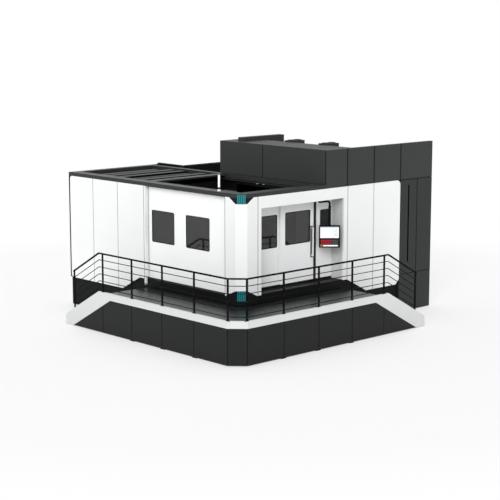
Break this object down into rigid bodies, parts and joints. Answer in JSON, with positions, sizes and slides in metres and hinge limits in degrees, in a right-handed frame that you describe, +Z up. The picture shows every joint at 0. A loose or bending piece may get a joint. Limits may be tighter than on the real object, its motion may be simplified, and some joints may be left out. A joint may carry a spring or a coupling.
{
  "type": "cnc machining center",
  "caption": "Large enclosed vertical mill-turn machining centre with an L-shaped raised operator platform, guardrails, stairs, pendant, sliding doors and a swivelling milling head.",
  "frame": {"origin": "on the floor, in the middle of the footprint of machine and platform", "axes": "+X along the operator's front, towards the electrical cabinet; +Y along the loading side, away from the operator's front; +Z up"},
  "size_m": [8.73, 8.588, 4.716],
  "materials": {
    "white_panels": "smooth satin powder coat",
    "light_grey_lining": "satin powder coat",
    "charcoal_panels": "fine textured powder coat",
    "black_paint": "satin powder coat",
    "deck_steel": "glossy coated sheet",
    "band_paint": "satin powder coat",
    "teal_paint": "satin powder coat",
    "window_glass": "tinted laminated pane",
    "frame_paint": "satin paint",
    "machine_casting": "painted casting",
    "bare_steel": "ground and oiled",
    "stainless": "brushed sheet",
    "tool_steel": "ground tool steel",
    "rubber_seal": "matt",
    "pendant_shell": "satin powder coat",
    "screen_glass": "lit display face",
    "key_pad": "moulded keys on a dark pad",
    "stop_button": "moulded",
    "light_lens": "milky lens",
    "drive_casing": "moulded casing"
  },
  "bodies": {
    "machine": {"cabinet_body": "charcoal_panels", "cabinet_drives": "drive_casing", "chip_conveyor": "frame_paint", "cladding_panels": "charcoal_panels", "column_guides": "bare_steel", "coolant_tank": "light_grey_lining", "corner_caps": "black_paint", "corner_cover": "white_panels", "corner_ribs": "teal_paint", "deck_plates": "deck_steel", "enclosure_frame": "frame_paint", "fixed_door_panels": "light_grey_lining", "fixed_glass": "window_glass", "guardrail_posts": "black_paint", "guardrail_rails": "black_paint", "levelling_feet": "bare_steel", "loading_side_panels": "white_panels", "machine_bed": "machine_casting", "magazine_stand": "machine_casting", "operator_door_seal": "rubber_seal", "operator_side_panels": "white_panels", "operator_surround": "white_panels", "platform_fascia": "band_paint", "platform_frame": "frame_paint", "rear_panels": "white_panels", "rear_roof_panels": "white_panels", "recess_lining": "light_grey_lining", "roof_frame": "black_paint", "stair_treads": "deck_steel", "status_light": "light_lens", "table_base": "machine_casting", "tower_panels": "charcoal_panels", "tower_roof": "charcoal_panels", "work_area_walls": "stainless"},
    "table": {"rotary_table": "bare_steel"},
    "column": {"column": "machine_casting", "headstock_guides": "bare_steel"},
    "headstock": {"headstock": "machine_casting"},
    "ram": {"ram": "bare_steel"},
    "head": {"milling_head": "machine_casting"},
    "spindle": {"spindle": "bare_steel", "face_mill": "tool_steel"},
    "magazine": {"magazine_disc": "bare_steel", "magazine_tools": "tool_steel"},
    "loading_door": {"loading_door": "white_panels", "loading_door_glass": "window_glass"},
    "operator_door": {"operator_door": "light_grey_lining", "operator_door_glass": "window_glass", "operator_door_handle": "white_panels"},
    "roof_slat_1": {"roof_slat_1": "black_paint"},
    "roof_slat_2": {"roof_slat_2": "black_paint"},
    "roof_slat_3": {"roof_slat_3": "black_paint"},
    "roof_slat_4": {"roof_slat_4": "black_paint"},
    "cabinet_door_left": {"cabinet_door_left": "charcoal_panels"},
    "cabinet_door_right": {"cabinet_door_right": "charcoal_panels"},
    "pendant_arm": {"pendant_arm": "black_paint"},
    "pendant": {"pendant_housing": "pendant_shell", "pendant_screen": "screen_glass", "pendant_keys": "key_pad"},
    "emergency_stop": {"emergency_stop": "stop_button"}
  },
  "joints": [
    {"name": "table_spin", "type": "hinge", "parent": "machine", "child": "table", "pos_m": [-1.265, -0.594, 1.26], "axis": [0, 0, 1], "continuous": true},
    {"name": "column_travel", "type": "slide", "parent": "machine", "child": "column", "axis": [0, 1, 0], "range_m": [-0.85, 0.85]},
    {"name": "headstock_travel", "type": "slide", "parent": "column", "child": "headstock", "axis": [0, 0, 1], "range_m": [-0.8, 0.3]},
    {"name": "ram_travel", "type": "slide", "parent": "headstock", "child": "ram", "axis": [-1, 0, 0], "range_m": [-0.15, 1.2]},
    {"name": "head_swivel", "type": "hinge", "parent": "ram", "child": "head", "pos_m": [-0.115, -0.594, 2.9], "axis": [1, 0, 0], "range_deg": [-100, 100]},
    {"name": "spindle_spin", "type": "hinge", "parent": "head", "child": "spindle", "pos_m": [-0.4153, -0.594, 2.5], "axis": [0, 0, 1], "continuous": true},
    {"name": "magazine_spin", "type": "hinge", "parent": "machine", "child": "magazine", "pos_m": [2.535, 2.036, 1.95], "axis": [0, 1, 0], "continuous": true},
    {"name": "loading_door_slide", "type": "slide", "parent": "machine", "child": "loading_door", "axis": [0, 1, 0], "range_m": [0, 2.9]},
    {"name": "operator_door_slide", "type": "slide", "parent": "machine", "child": "operator_door", "axis": [-1, 0, 0], "range_m": [0, 1.07]},
    {"name": "roof_slat_1_slide", "type": "slide", "parent": "machine", "child": "roof_slat_1", "axis": [0, -1, 0], "range_m": [0, 3.58]},
    {"name": "roof_slat_2_slide", "type": "slide", "parent": "machine", "child": "roof_slat_2", "axis": [0, -1, 0], "range_m": [0, 3.399]},
    {"name": "roof_slat_3_slide", "type": "slide", "parent": "machine", "child": "roof_slat_3", "axis": [0, -1, 0], "range_m": [0, 3.217]},
    {"name": "roof_slat_4_slide", "type": "slide", "parent": "machine", "child": "roof_slat_4", "axis": [0, -1, 0], "range_m": [0, 3.035]},
    {"name": "cabinet_door_left_swing", "type": "hinge", "parent": "machine", "child": "cabinet_door_left", "pos_m": [3.074, -2.698, 1.05], "axis": [0, 0, -1], "range_deg": [0, 110]},
    {"name": "cabinet_door_right_swing", "type": "hinge", "parent": "machine", "child": "cabinet_door_right", "pos_m": [4.351, -2.698, 1.05], "axis": [0, 0, 1], "range_deg": [0, 110]},
    {"name": "pendant_arm_swing", "type": "hinge", "parent": "machine", "child": "pendant_arm", "pos_m": [0.032, -2.594, 3.3], "axis": [0, 0, 1], "range_deg": [-85, 0]},
    {"name": "pendant_swivel", "type": "hinge", "parent": "pendant_arm", "child": "pendant", "pos_m": [0.435, -2.594, 2.66], "axis": [0, 0, 1], "range_deg": [-45, 43]},
    {"name": "emergency_stop_press", "type": "slide", "parent": "pendant", "child": "emergency_stop", "axis": [0.6833, 0.7302, 0], "range_m": [0, 0.005], "stiffness_N_per_m": 2000}
  ],
  "couplings": [
    {"joint": "roof_slat_2_slide", "follows": "roof_slat_1_slide", "ratio": 0.94916},
    {"joint": "roof_slat_3_slide", "follows": "roof_slat_1_slide", "ratio": 0.89832},
    {"joint": "roof_slat_4_slide", "follows": "roof_slat_1_slide", "ratio": 0.84749}
  ]
}
